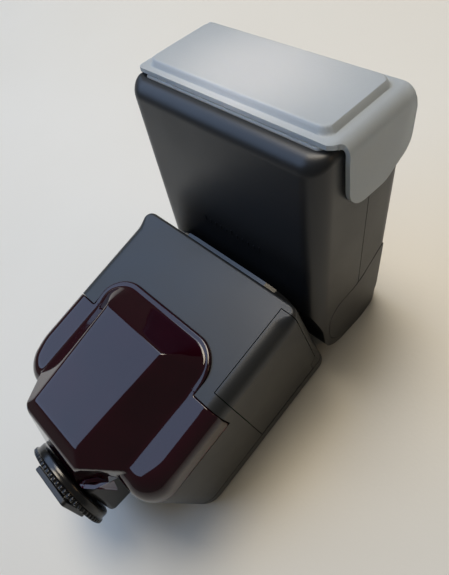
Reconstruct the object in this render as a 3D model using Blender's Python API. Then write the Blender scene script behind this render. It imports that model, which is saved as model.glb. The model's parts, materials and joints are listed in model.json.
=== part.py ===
"""Shoe-mount electronic flash gun with a bouncing zoom head, lying on its back with its front panel up.

World frame: X runs across the body (battery door at +X), +Y from the foot to the head, +Z out of the
front panel. The body leans by LEAN from the shoe, so the head and the shoe foot share a second frame,
turned by LEAN about X: its Y is square to the shoe plate and its Z is the way the flash fires.
Every mesh is written in millimetres in its own frame and turned to metres by make().
"""
import math

import bmesh
import bpy
from mathutils import Vector

MM = 0.001
GAP = 0.3
WALL = 2.0
LEAN = math.radians(15.8)

# body
HALF_WIDTH = 38.5
TOP_Y = 21.0
END_Y = -57.0
FRONT_Z = 55.0
SEAM_Z = 7.5
EDGE_R = 5.5
END_R = 10.0
SHOULDER_R = 4.0

# red window over the autofocus lamp
WINDOW_TOP_Y = -20.5
WINDOW_DEPTH = 11.2
WINDOW_WALL = 1.8
BLOCK_TOP_Y = -4.8
BLOCK_HALF = 26.5
FACET_Z = 64.0
AF_AT = (0.0, -44.5)

# the raised block's corners as (half width, y): flat facet, brow over the nose, wing crease, valley, nose
FACET_TOP = (14.85, -16.2)
FACET_FOOT = (12.5, -55.7)
BROW = (12.0, -59.0)
BROW_DROP = 2.2
CREASE = (26.5, -46.0)
VALLEY = (18.5, -57.5)
NOSE = (11.0, -69.3)
NOSE_DROP = 10.2

# controls on the back panel
KEY_R = 3.5
KEY_PLACES = {
    "zoom_button": (-24.0, -16.0), "mode_button": (-8.0, -16.0),
    "minus_button": (8.0, -16.0), "plus_button": (24.0, -16.0),
    "select_button": (-24.0, -30.0), "light_button": (-8.0, -30.0),
    "test_button": (24.0, -30.0),
}
DISPLAY_HALF = 22.0
DISPLAY_Y = (-6.0, 14.0)
SWITCH_AT = (-6.0, -44.5)
SWITCH_HALF = (3.0, 2.5)
SWITCH_TRAVEL = 6.0

# the four screws that draw the rear housing to the front one
SCREW_PLACES = {"housing_screw_1": (-27.0, 17.0), "housing_screw_2": (27.0, 17.0),
                "housing_screw_3": (-22.0, -53.4), "housing_screw_4": (22.0, -53.4)}
SCREW_R = 0.9
SCREW_HEAD_R = 2.0
POST_R = 3.2
POST_TOP = 7.2
BOSS_TOP = 12.2

# battery door and cells
DOOR_X = 32.5
DOOR_LOW_Y = -19.2
DOOR_HIGH_Y = 18.0
DOOR_FRONT_Y = -15.3
DOOR_HINGE_Y = 13.5
DOOR_AXIS = (36.75, 9.6)
DOOR_LIP = 1.75
DOOR_WALL = 1.8
DOOR_PIN_R = 0.66
CELL_R = 7.1
CELL_LENGTH = 50.0
CELL_BASE_X = -18.2
CELL_ROWS = (-6.2, 8.8)
CELL_LAYERS = (22.0, 37.4)
TRAY_LOW = (-20.5, -14.8, 12.6)
TRAY_HIGH = (31.8, 17.4, 46.6)
TRAY_WALL = 1.2

# shoe foot, in the leaning frame, from the plate's lower face
FOOT_AT = (0.0, -81.5, 33.8)
SHOE_SIDE = 18.6
SHOE_THICK = 1.9
RING_R = 18.0
RING_LOW = 3.5
RING_HIGH = 8.1
RING_KNURL = 2.6
RIDGES = 48
STEM_R = 6.1
PIN_PLACES = {"contact_pin_1": (0.0, 0.0), "contact_pin_2": (-3.6, -4.2), "contact_pin_3": (3.6, -4.2),
              "contact_pin_4": (-4.6, 3.0)}
LOCK_PIN_AT = (4.6, 3.0)

# swivel and tilt
SWIVEL_Z = 25.0
PLINTH_TOP = 24.0
PIVOT_AT = (0.0, 41.8, 17.0)
NECK_HALF = 24.0
NECK_R = 13.0
NECK_ROOM = 2.2
SHAFT_R = 4.0
SHAFT_HALF = 35.5
BUSH_R = 7.0

# head, in the leaning frame, from the tilt axis
HEAD_FACE = -23.0
HEAD_BACK = 19.5
HEAD_RIM = 80.5
HEAD_SEAM = 1.1
HEAD_R = 6.5
CHEEK_R = 16.1
FACE_FOOT = 18.0
LENS_BOX = (34.8, -17.6, 14.1)
CAP_TOP = 84.7
CAP_HALF = 40.6
LEAF_R = 15.2
LEAF_THICK = 0.9

# zoom mechanism, in the head's frame
SCREW_AT = (31.5, 7.0)
ROD_PLACES = {"guide_rod_left": (-31.5, 8.0), "guide_rod_right": (31.5, -11.0)}
ROD_R = 1.2
CARRIAGE_LOW = (-34.0, -15.5, 29.6)
CARRIAGE_HIGH = (34.0, 12.5, 32.6)
BOWL_AXIS = -1.7
BOWL_HALF = 27.0


def clear_scene():
    for old in list(bpy.data.objects):
        bpy.data.objects.remove(old, do_unlink=True)


def arc(centre, radius, first, last, steps):
    """Points on a circle from angle first to last, in degrees, both ends included."""
    points = []
    for k in range(steps + 1):
        turn = math.radians(first + (last - first) * k / steps)
        points.append((centre[0] + radius * math.cos(turn), centre[1] + radius * math.sin(turn)))
    return points


def rounded(corners, steps=5):
    """A polygon whose corners (u, v, radius) become arcs; a radius of 0 keeps the corner sharp."""
    points = []
    for i, (u, v, radius) in enumerate(corners):
        here = Vector((u, v))
        if radius == 0:
            points.append((u, v))
            continue
        before = (Vector(corners[i - 1][:2]) - here).normalized()
        after = (Vector(corners[(i + 1) % len(corners)][:2]) - here).normalized()
        half = before.angle(after) / 2
        centre = here + (before + after).normalized() * (radius / math.sin(half))
        start = here + before * (radius / math.tan(half)) - centre
        end = here + after * (radius / math.tan(half)) - centre
        turn = math.atan2(start.x * end.y - start.y * end.x, start.dot(end))
        first = math.degrees(math.atan2(start.y, start.x))
        count = max(2, round(steps * abs(turn) / (math.pi / 2)))
        points += arc(centre, radius, first, first + math.degrees(turn), count)
    return points


def box_outline(u_low, u_high, v_low, v_high, radius=0.0, steps=4):
    corners = [(u_low, v_low), (u_high, v_low), (u_high, v_high), (u_low, v_high)]
    return rounded([(u, v, radius) for u, v in corners], steps)


# which world axes an outline's two directions and its extrusion take
PLAN = (0, 1, 2)
SIDE = (1, 2, 0)
END = (0, 2, 1)


def loft(rings):
    """A closed mesh through rings of equal length, with flat caps on the first and last."""
    mesh = bmesh.new()
    loops = [[mesh.verts.new([c * MM for c in point]) for point in ring] for ring in rings]
    count = len(loops[0])
    for low, high in zip(loops, loops[1:]):
        for i in range(count):
            j = (i + 1) % count
            mesh.faces.new((low[i], low[j], high[j], high[i]))
    mesh.faces.new(loops[0])
    mesh.faces.new(loops[-1])
    bmesh.ops.recalc_face_normals(mesh, faces=mesh.faces)
    return mesh


def prism(points, low, high, facing=PLAN):
    """An outline carried straight from low to high along the third axis of facing."""
    rings = []
    for level in (low, high):
        ring = []
        for u, v in points:
            place = [0.0, 0.0, 0.0]
            place[facing[0]], place[facing[1]], place[facing[2]] = u, v, level
            ring.append(place)
        rings.append(ring)
    return loft(rings)


def box(low, high):
    return prism([(low[0], low[1]), (high[0], low[1]), (high[0], high[1]), (low[0], high[1])], low[2], high[2])


def turned(profile, centre=(0.0, 0.0), axis=2, sides=32):
    """A solid of revolution: profile is (radius, height) along the axis, centre its two other coordinates."""
    others = [k for k in (0, 1, 2) if k != axis]
    rings = []
    for radius, height in profile:
        ring = []
        for u, v in arc(centre, radius, 0, 360 - 360 / sides, sides - 1):
            place = [0.0, 0.0, 0.0]
            place[others[0]], place[others[1]], place[axis] = u, v, height
            ring.append(place)
        rings.append(ring)
    return loft(rings)


def hull(points):
    mesh = bmesh.new()
    for point in points:
        mesh.verts.new([c * MM for c in point])
    found = bmesh.ops.convex_hull(mesh, input=mesh.verts)
    inside = [item for item in found["geom_interior"] if isinstance(item, bmesh.types.BMVert)]
    bmesh.ops.delete(mesh, geom=inside, context="VERTS")
    bmesh.ops.recalc_face_normals(mesh, faces=mesh.faces)
    return mesh


def soften(mesh, radius, chosen, segments=3):
    """Rounds the edges whose two ends both pass chosen(x, y, z), given in millimetres."""
    edges = [e for e in mesh.edges if all(chosen(*(v.co / MM)) for v in e.verts)]
    edges = [e for e in edges if e.calc_face_angle(0.0) > math.radians(25)]
    bmesh.ops.bevel(mesh, geom=edges, offset=radius * MM, segments=segments, profile=0.5, affect="EDGES",
                    clamp_overlap=True)
    bmesh.ops.recalc_face_normals(mesh, faces=mesh.faces)
    return mesh


def frame(name, at, lean=0.0, parent=None):
    """An empty that holds the pieces of one moving group, on that group's joint axis."""
    empty = bpy.data.objects.new(name, None)
    bpy.context.scene.collection.objects.link(empty)
    empty.empty_display_size = 0.01
    empty.location = [c * MM for c in at]
    empty.rotation_euler = (-lean, 0.0, 0.0)
    empty.parent = parent
    return empty


def make(name, mesh, parent, colour=None, roughness=0.5, metallic=0.0, at=(0.0, 0.0, 0.0)):
    """Turns a bmesh into an object under a frame; without a colour it is a hidden cutter."""
    data = bpy.data.meshes.new(name)
    mesh.to_mesh(data)
    mesh.free()
    thing = bpy.data.objects.new(name, data)
    bpy.context.scene.collection.objects.link(thing)
    thing.parent = parent
    thing.location = [c * MM for c in at]
    if colour is None:
        thing.hide_render = True
        thing.display_type = "WIRE"
        return thing
    data.shade_smooth()
    data.set_sharp_from_angle(angle=math.radians(35))
    finish = bpy.data.materials.new(name)
    finish.use_nodes = True
    shader = finish.node_tree.nodes["Principled BSDF"]
    shader.inputs["Base Color"].default_value = (*colour, 1.0)
    shader.inputs["Roughness"].default_value = roughness
    shader.inputs["Metallic"].default_value = metallic
    data.materials.append(finish)
    return thing


def boolean(thing, operation, meshes, solver):
    """Cuts meshes from a piece, or joins them to it, through live modifiers."""
    for mesh in meshes:
        name = f"{thing.name}_{operation.lower()}_{len(thing.modifiers)}"
        modifier = thing.modifiers.new(name, "BOOLEAN")
        modifier.operation = operation
        modifier.solver = solver
        modifier.object = make(name, mesh, thing.parent)


def cut(thing, *meshes, solver="EXACT"):
    boolean(thing, "DIFFERENCE", meshes, solver)


def join(thing, *meshes, solver="EXACT"):
    boolean(thing, "UNION", meshes, solver)


CHARCOAL = (0.022, 0.023, 0.024)
BLACK = (0.012, 0.012, 0.013)
WINE = (0.045, 0.003, 0.010)
RUBY = (0.5, 0.05, 0.08)
SMOKED = (0.30, 0.34, 0.30)
LIQUID_CRYSTAL = (0.25, 0.28, 0.22)
COPPER = (0.30, 0.18, 0.05)
SLEEVE_BLUE = (0.03, 0.05, 0.10)
WINDING = (0.35, 0.25, 0.08)
CLEAR = (0.80, 0.82, 0.84)
NYLON = (0.50, 0.50, 0.45)
STEEL = (0.62, 0.62, 0.64)
FROST = (0.62, 0.66, 0.70)
BOARD_GREEN = (0.02, 0.10, 0.05)
GREY_KEY = (0.10, 0.10, 0.11)


def body_plan(inset=0.0):
    half = HALF_WIDTH - inset
    return rounded([
        (-half, END_Y + inset, END_R - inset), (half, END_Y + inset, END_R - inset),
        (half, TOP_Y - inset, SHOULDER_R - inset / 2), (-half, TOP_Y - inset, SHOULDER_R - inset / 2)])


def window_plan(inset=0.0):
    half = HALF_WIDTH - inset
    return rounded([
        (-half, END_Y + inset, END_R - inset), (half, END_Y + inset, END_R - inset),
        (half, WINDOW_TOP_Y - inset, 0), (-half, WINDOW_TOP_Y - inset, 0)])


def block_base(inset=0.0):
    """The raised block's outline where it leaves the front panel, open towards the foot."""
    half = BLOCK_HALF - inset
    top = BLOCK_TOP_Y - inset
    radius = 10.5 - inset
    return (arc((half - radius, top - radius), radius, 0, 90, 5)
            + arc((radius - half, top - radius), radius, 90, 180, 5))


def block_hull(inset=0.0, drop=0.0):
    """The raised block: a flat tapered facet, steep flanks, and a nose that overhangs the foot."""
    base = FRONT_Z - 2 - drop
    points = [(x, y, base) for x, y in block_base(inset)]
    slant = 0.7 * inset
    for side in (-1, 1):
        points += [
            (side * (FACET_TOP[0] - slant), FACET_TOP[1] - slant, FACET_Z - inset),
            (side * (FACET_FOOT[0] - slant), FACET_FOOT[1], FACET_Z - inset),
            (side * (BROW[0] - slant), BROW[1] + slant, FACET_Z - BROW_DROP - inset),
            (side * (CREASE[0] - inset), CREASE[1], base),
            (side * (VALLEY[0] - inset), VALLEY[1] + inset, FRONT_Z - NOSE_DROP - drop),
            (side * (NOSE[0] - slant), NOSE[1] + inset, FRONT_Z - NOSE_DROP - drop)]
    return hull(points)


def door_side(grow):
    """The door seen from its side: its foot edge slants, and it is narrower where it turns on its hinge."""
    above = FRONT_Z + 5
    hinge_z = DOOR_AXIS[1] + 2.8
    return [(DOOR_LOW_Y - grow, SEAM_Z - 5), (DOOR_HINGE_Y + grow, SEAM_Z - 5), (DOOR_HINGE_Y + grow, hinge_z),
            (DOOR_HIGH_Y - 1.2 + grow, hinge_z + 3.6), (DOOR_HIGH_Y + grow, above), (DOOR_FRONT_Y - grow, above)]


def bored(radius, low, high, places, axis=2, sides=16):
    """One plain rod at each place, for drilling a row of like holes or raising a row of like posts."""
    return [turned([(radius, low), (radius, high)], at, axis, sides) for at in places]


def build_body(body):
    shell = soften(prism(body_plan(), SEAM_Z + GAP, FRONT_Z), EDGE_R, lambda x, y, z: z > FRONT_Z - 0.1)
    housing = make("front_housing", shell, body, CHARCOAL, 0.55)
    beyond = FRONT_Z + 5
    window_bed = box_outline(-45, 45, -75, WINDOW_TOP_Y + GAP)
    throat = block_base(-GAP) + [(-BLOCK_HALF - GAP, -30), (BLOCK_HALF + GAP, -30)]
    # the union needs the solver that also makes these cuts, because EXACT leaves this shell empty
    cut(housing,
        prism(body_plan(WALL), SEAM_Z - 5, FRONT_Z - WALL),
        prism(window_bed, FRONT_Z - WINDOW_DEPTH - GAP, beyond),
        prism(throat, FRONT_Z - 5, beyond),
        prism(door_side(GAP), DOOR_X, 45, SIDE), solver="MANIFOLD")
    screws = list(SCREW_PLACES.values())
    join(housing, *bored(POST_R, SEAM_Z + GAP, BOSS_TOP, screws, sides=20), solver="MANIFOLD")
    cut(housing, *bored(SCREW_R + 0.1, 0, BOSS_TOP - 0.8, screws), solver="MANIFOLD")

    rear = soften(prism(body_plan(), 0, SEAM_Z), 4.5, lambda x, y, z: z < 0.1)
    back = make("rear_housing", rear, body, CHARCOAL, 0.55)
    cut(back, prism(body_plan(WALL), WALL, SEAM_Z + 5))
    join(back, *bored(POST_R, WALL - 0.5, POST_TOP, screws, sides=20))
    slot = [SWITCH_AT[0] - SWITCH_HALF[0] - GAP, SWITCH_AT[0] + SWITCH_HALF[0] + SWITCH_TRAVEL + GAP,
            SWITCH_AT[1] - SWITCH_HALF[1] - GAP, SWITCH_AT[1] + SWITCH_HALF[1] + GAP]
    cut(back,
        prism(box_outline(-DISPLAY_HALF - GAP, DISPLAY_HALF + GAP, DISPLAY_Y[0] - GAP, DISPLAY_Y[1] + GAP, 1.5),
              -5, 10),
        prism(box_outline(*slot, 2.4), -5, 10),
        *bored(KEY_R + GAP, -5, 10, KEY_PLACES.values(), sides=20),
        *bored(SCREW_HEAD_R + GAP, -5, 5.2, screws),
        *bored(SCREW_R + GAP, -5, 10, screws))
    for name, at in SCREW_PLACES.items():
        profile = [(SCREW_HEAD_R, 3.4), (SCREW_HEAD_R, 4.9), (SCREW_R, 4.9), (SCREW_R, BOSS_TOP - 1.4)]
        make(name, turned(profile, sides=16), body, STEEL, 0.35, 1.0, at=(*at, 0))


def build_window(body):
    def on_rim(x, y, z):
        return z > FRONT_Z - 0.1 and (abs(x) > HALF_WIDTH - 0.1 or y < END_Y + END_R + 0.1)

    slab = soften(prism(window_plan(), FRONT_Z - WINDOW_DEPTH, FRONT_Z), EDGE_R, on_rim)
    cover = make("autofocus_window", slab, body, WINE, 0.06)
    join(cover, block_hull())
    cut(cover, prism(window_plan(WINDOW_WALL), FRONT_Z - 30, FRONT_Z - WINDOW_WALL),
        block_hull(WINDOW_WALL, drop=14.0))
    sleeve = [(9.0, 41), (9.0, 53), (7.6, 53), (7.6, 44), (2.0, 44), (2.0, 41)]
    make("autofocus_holder", turned(sleeve, AF_AT), body, BLACK, 0.5)
    dome = [(7.3, 49.5), (7.3, 52), (6.2, 54), (4.0, 55.4), (1.2, 56)]
    make("autofocus_lens", turned(dome, AF_AT), body, RUBY, 0.05)


def build_back_panel(body):
    pane = box_outline(-DISPLAY_HALF, DISPLAY_HALF, *DISPLAY_Y, 1.2)
    make("display_window", prism(pane, 0.5, 2.2), body, SMOKED, 0.08)
    screen = (DISPLAY_HALF - 2, DISPLAY_Y[1] - 2, 4.4)
    make("display_panel", box((-screen[0], DISPLAY_Y[0] + 2, 2.6), screen), body, LIQUID_CRYSTAL, 0.3)
    for name, at in KEY_PLACES.items():
        key = turned([(KEY_R - 0.6, 0.4), (KEY_R, 1.0), (KEY_R, 3.4)], sides=20)
        make(name, key, body, GREY_KEY, 0.45, at=(*at, 0))
    half_x, half_y = SWITCH_HALF
    knob = prism(box_outline(-half_x, half_x, -half_y, half_y, 2.0), 0.4, 3.6)
    make("power_switch", knob, body, GREY_KEY, 0.45, at=(*SWITCH_AT, 0))


def build_inside(body):
    tray = make("battery_tray", box(TRAY_LOW, TRAY_HIGH), body, BLACK, 0.6)
    inner_high = (TRAY_HIGH[0] + 5, TRAY_HIGH[1] - TRAY_WALL, TRAY_HIGH[2] - TRAY_WALL)
    cut(tray, box([c + TRAY_WALL for c in TRAY_LOW], inner_high))
    tip = CELL_BASE_X + CELL_LENGTH
    profile = [(CELL_R, CELL_BASE_X), (CELL_R, tip - 1.4), (2.7, tip - 1.4), (2.7, tip - 0.4)]
    centres = [(y, z) for y in CELL_ROWS for z in CELL_LAYERS]
    for number, centre in enumerate(centres, 1):
        make(f"cell_{number}", turned(profile, centre, axis=0, sides=20), body, COPPER, 0.3, 0.6)
    strip_low = (CELL_BASE_X - 0.8, TRAY_LOW[1] + 2.3, TRAY_LOW[2] + 2.4)
    strip_high = (CELL_BASE_X - 0.3, TRAY_HIGH[1] - 2.3, TRAY_HIGH[2] - 2.1)
    make("contact_strip", box(strip_low, strip_high), body, STEEL, 0.3, 1.0)
    can = [(11.5, -30), (12.0, -29.4), (12.0, 23.4), (11.5, 24)]
    make("main_capacitor", turned(can, (-37, 28), axis=0), body, SLEEVE_BLUE, 0.3)
    make("main_board", prism(box_outline(-34, 33, -49.8, 13.4, 2.0), 9.0, 10.6), body, BOARD_GREEN, 0.5)
    make("transformer", box((-33.5, -14, 12), (-23, 4, 24)), body, WINDING, 0.5)


def build_door(door):
    """A cover that wraps the body's front edge, hinged low on the side, with its contact plate inside."""
    axis_x, axis_z = DOOR_AXIS
    bend = (HALF_WIDTH - EDGE_R, FRONT_Z - EDGE_R)
    outer = [(DOOR_X + GAP, FRONT_Z)] + arc(bend, EDGE_R, 88, 0, 5)
    inner = arc(bend, EDGE_R - DOOR_WALL, 0, 88, 5) + [(DOOR_X + GAP, FRONT_Z - DOOR_WALL)]
    knuckle = arc(DOOR_AXIS, DOOR_LIP, 0, -180, 8)
    shoulder = [(axis_x - DOOR_LIP, axis_z + 2.0), (HALF_WIDTH - DOOR_WALL, axis_z + 4.0)]
    outline = [(x - axis_x, z - axis_z) for x, z in outer + knuckle + shoulder + inner]
    cover = make("battery_door", prism(outline, DOOR_LOW_Y - 5, DOOR_HIGH_Y + 5, END), door, CHARCOAL, 0.55)
    seen = [(y, z - axis_z) for y, z in door_side(0)]
    boolean(cover, "INTERSECT", [prism(seen, -10, 10, SIDE)], "EXACT")
    hole = DOOR_PIN_R + 0.06
    cut(cover, turned([(hole, -40), (hole, 40)], axis=1, sides=12))
    face = HALF_WIDTH - DOOR_WALL - axis_x - GAP
    make("door_contact", box((face - 0.5, -12.0, 8.0), (face, 14.0, 33.0)), door, STEEL, 0.3, 1.0)
    pin = turned([(DOOR_PIN_R, DOOR_LOW_Y + 0.8), (DOOR_PIN_R, DOOR_HINGE_Y - 0.4)], axis=1, sides=12)
    make("door_hinge_pin", pin, door, STEEL, 0.3, 1.0)


def foot_point(along, across):
    """World (y, z) of a point of the leaning foot frame."""
    return (FOOT_AT[1] + along * math.cos(LEAN) + across * math.sin(LEAN),
            FOOT_AT[2] - along * math.sin(LEAN) + across * math.cos(LEAN))


def build_foot(body, foot):
    far = RING_HIGH + 0.4
    profile = [(END_Y - GAP, 42.6), foot_point(far, 10.5), foot_point(far, -15.5), (END_Y - GAP, 12.0)]
    half_width = 14.0
    pedestal = soften(prism(profile, -half_width, half_width, SIDE), 2.0,
                      lambda x, y, z: abs(x) > half_width - 0.1)
    make("foot_pedestal", pedestal, body, CHARCOAL, 0.5)

    half = SHOE_SIDE / 2
    plate = soften(prism(box_outline(-half, half, -half, half, 1.2, 2), 0, SHOE_THICK, END), 0.3,
                   lambda x, y, z: y < 0.01, 1)
    shoe = make("shoe_plate", plate, foot, BLACK, 0.35)
    join(shoe, turned([(STEM_R, SHOE_THICK - 0.6), (STEM_R, RING_HIGH + 0.1)], axis=1, sides=28))
    cut(shoe, *bored(1.45, -5, 3.2, PIN_PLACES.values(), axis=1), *bored(1.2, -5, 6, [LOCK_PIN_AT], axis=1))
    for name, (x, z) in PIN_PLACES.items():
        pin = turned([(0.7, -0.4), (1.1, -0.1), (1.1, 2.8)], axis=1, sides=16)
        make(name, pin, foot, STEEL, 0.25, 1.0, at=(x, 0, z))
    lock = turned([(0.7, 0.3), (0.95, 0.6), (0.95, 3.1)], axis=1, sides=16)
    make("lock_pin", lock, foot, STEEL, 0.25, 1.0, at=(LOCK_PIN_AT[0], 0, LOCK_PIN_AT[1]))

    knurl = []
    for k in range(RIDGES):
        for depth, step in ((0.0, 0.0), (0.55, 0.5)):
            turn = 2 * math.pi * (k + step) / RIDGES
            knurl.append(((RING_R - depth) * math.cos(turn), (RING_R - depth) * math.sin(turn)))
    ring = make("lock_ring", prism(knurl, RING_LOW, RING_LOW + RING_KNURL, END), foot, BLACK, 0.3)
    smooth = [(RING_R - 0.6, RING_LOW + RING_KNURL - 0.4), (RING_R - 0.3, RING_LOW + RING_KNURL + 0.3),
              (RING_R - 0.3, RING_HIGH - 0.9), (RING_R - 1.2, RING_HIGH)]
    join(ring, turned(smooth, axis=1, sides=RIDGES))
    cut(ring, turned([(STEM_R + GAP, -5), (STEM_R + GAP, 20)], axis=1, sides=28))


def head_side():
    """The head's outline from the side, about the tilt axis: flat face, round cheeks, round back corner."""
    chin = arc((HEAD_FACE + 4, FACE_FOOT + 4), 4, 180, 230, 3) + [(-19.0, 4.0)]
    low = arc((0, 0), CHEEK_R, 190, 285, 8)
    corner = arc((HEAD_BACK - CHEEK_R, 0), CHEEK_R, 292, 360, 6)
    return [(HEAD_FACE, HEAD_RIM + 9)] + chin + low + corner + [(HEAD_BACK, HEAD_RIM + 9)]


def leaf_outline(inset=0.0):
    """The hinge cover: a round end about the tilt axis drawn out to a point at the head's back edge."""
    radius = LEAF_R - inset
    straight = [(15.3 - inset, 2.0), (15.4 - inset, 12.0)]
    point = [(14.6 - inset, 21.6 - inset), (8.0, 16.6 - inset), (2.0, 13.6 - inset), (-5.5, 12.4 - inset)]
    return arc((0, 0), radius, 142, 330, 12) + straight + point


def head_block():
    """The head's rounded plan, carried along the firing direction."""
    plan = box_outline(-HALF_WIDTH, HALF_WIDTH, HEAD_FACE, HEAD_BACK, HEAD_R, 5)
    return soften(prism(plan, -25, HEAD_RIM), 1.6, lambda x, y, z: z > HEAD_RIM - 0.1, 2)


def build_head(tilt):
    """Two half shells around the lamp, both cleared for the neck; the covers hide the tilt shaft's ends."""
    hollow = HALF_WIDTH - WALL
    lens_x, lens_low, lens_high = LENS_BOX
    neck = NECK_HALF + 0.8
    halves = {"head_front_shell": (-60, HEAD_SEAM - GAP / 2), "head_rear_shell": (HEAD_SEAM + GAP / 2, 60)}
    for name, (low, high) in halves.items():
        shell = make(name, head_block(), tilt, CHARCOAL, 0.5)
        boolean(shell, "INTERSECT", [prism(head_side(), -60, 60, SIDE), box((-60, low, -60), (60, high, 120))],
                "EXACT")
        cut(shell,
            box((-hollow, HEAD_FACE + WALL, 15.5), (hollow, HEAD_BACK - WALL, HEAD_RIM - WALL - 1.5)),
            box((-lens_x, lens_low, 60), (lens_x, lens_high, 100)),
            turned([(NECK_R + NECK_ROOM, -neck), (NECK_R + NECK_ROOM, neck)], axis=0, sides=32),
            box((-neck, -40, -40), (neck, 40, 0)),
            box((-neck, -40, -40), (neck, -8, FACE_FOOT - 0.5)),
            turned([(BUSH_R + 0.4, -hollow), (BUSH_R + 0.4, hollow)], axis=0, sides=24),
            *[prism(leaf_outline(-GAP), side * 37.4, side * 45, SIDE) for side in (-1, 1)])
    for side, word in ((-1, "left"), (1, "right")):
        low, high = sorted((side * (HALF_WIDTH + 0.1 - LEAF_THICK), side * (HALF_WIDTH + 0.1)))
        make(f"hinge_cover_{word}", prism(leaf_outline(), low, high, SIDE), tilt, CHARCOAL, 0.45)
        low, high = sorted((side * (neck + 0.4), side * (hollow - 0.4)))
        bush = make(f"tilt_bush_{word}", turned([(BUSH_R, low), (BUSH_R, high)], axis=0, sides=24), tilt,
                    NYLON, 0.4)
        cut(bush, turned([(SHAFT_R + 0.1, -50), (SHAFT_R + 0.1, 50)], axis=0, sides=24))


def build_optics(tilt, screw_frame):
    """The lens in the rim, and behind it the lamp on a carriage that a screw drives along two rods."""
    lens_x, lens_low, lens_high = LENS_BOX
    pane = box_outline(-lens_x + GAP, lens_x - GAP, lens_low + GAP, lens_high - GAP, 1.0)
    make("front_lens", prism(pane, 77.6, 80.3), tilt, CLEAR, 0.05)
    bowl = [(-13.0, 56.0), (-12.0, 46.0), (-8.5, 38.5), (-4.0, 34.6), (0.0, 33.6)]
    bowl = bowl + [(-y, z) for y, z in reversed(bowl[:-1])]
    skin = [(y * 0.94, z + 0.8) for y, z in reversed(bowl)]
    trough = [(y + BOWL_AXIS, z) for y, z in bowl + skin]
    make("reflector", prism(trough, -BOWL_HALF, BOWL_HALF, SIDE), tilt, STEEL, 0.12, 1.0)
    tube = turned([(1.2, -30.5), (2.3, -30), (2.3, 30), (1.2, 30.5)], (BOWL_AXIS, 38.6), axis=0, sides=16)
    make("flash_tube", tube, tilt, CLEAR, 0.03)
    carriage = make("zoom_carriage", box(CARRIAGE_LOW, CARRIAGE_HIGH), tilt, BLACK, 0.5)
    cut(carriage, *bored(ROD_R + 0.4, 20, 50, ROD_PLACES.values()), *bored(1.9, 20, 50, [SCREW_AT]))
    for name, at in ROD_PLACES.items():
        make(name, turned([(ROD_R, 17.5), (ROD_R, 75.5)], at, sides=12), tilt, STEEL, 0.2, 1.0)
    make("zoom_screw", turned([(1.5, 25.0), (1.5, 72.0)], sides=12), screw_frame, STEEL, 0.25, 1.0)
    motor_at = (SCREW_AT[0] - 1.0, SCREW_AT[1])
    make("zoom_motor", turned([(5.0, 16.6), (5.0, 24.4)], motor_at, sides=20), tilt, STEEL, 0.35, 1.0)


def build_cap(tilt):
    """The frosted cap: a raised panel over the lens and a tongue down each side of the head."""
    panel = soften(prism(box_outline(-37.4, 37.4, -16.9, 15.4, 5.0), HEAD_RIM + GAP, CAP_TOP), 1.6,
                   lambda x, y, z: z > CAP_TOP - 0.1, 2)
    cap = make("diffuser_cap", panel, tilt, FROST, 0.5)
    tongue = rounded([(-12.6, 82.6, 2), (-12.2, 59.5, 4), (3.0, 58.0, 5), (11.0, 62.0, 5), (16.6, 70.5, 5),
                      (15.6, 82.6, 2)])
    ears = soften(prism(tongue, -CAP_HALF, CAP_HALF, SIDE), 2.2,
                  lambda x, y, z: abs(x) > CAP_HALF - 0.1 and z > 70, 3)
    join(cap, ears)
    cut(cap, prism(box_outline(-HALF_WIDTH - 0.5, HALF_WIDTH + 0.5, -40, 40), 0, HEAD_RIM + GAP))


def build_swivel(swivel):
    """A plinth that turns on the body's top, its neck, and the shaft that the head tilts on."""
    outline = box_outline(-30, 30, 5 - SWIVEL_Z, 46 - SWIVEL_Z, 12)
    top = PLINTH_TOP - TOP_Y
    base = make("swivel_plinth", prism(outline, GAP, top, END), swivel, BLACK, 0.45)
    pivot = (PIVOT_AT[1] - TOP_Y, PIVOT_AT[2] - SWIVEL_Z)
    root = [(top - 0.5, pivot[1] + NECK_R), (top - 0.5, 6 - SWIVEL_Z)]
    join(base, prism(arc(pivot, NECK_R, -90, 90, 12) + root, -NECK_HALF, NECK_HALF, SIDE))
    cut(base, turned([(SHAFT_R + GAP, -50), (SHAFT_R + GAP, 50)], pivot, axis=0, sides=24))
    make("tilt_shaft", turned([(SHAFT_R, -SHAFT_HALF), (SHAFT_R, SHAFT_HALF)], pivot, axis=0, sides=24), swivel,
         STEEL, 0.3, 1.0)


def main():
    clear_scene()
    body = frame("body_frame", (0, 0, 0))
    swivel = frame("swivel_axis", (0, TOP_Y, SWIVEL_Z))
    tilt = frame("tilt_axis", PIVOT_AT, LEAN)
    foot = frame("foot_axis", FOOT_AT, LEAN)
    door = frame("door_axis", (DOOR_AXIS[0], 0, DOOR_AXIS[1]))
    screw = frame("screw_axis", (*SCREW_AT, 0), 0.0, tilt)
    build_body(body)
    build_window(body)
    build_back_panel(body)
    build_inside(body)
    build_door(door)
    build_foot(body, foot)
    build_swivel(swivel)
    build_head(tilt)
    build_optics(tilt, screw)
    build_cap(tilt)


main()
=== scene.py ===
import json
import math

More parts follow.
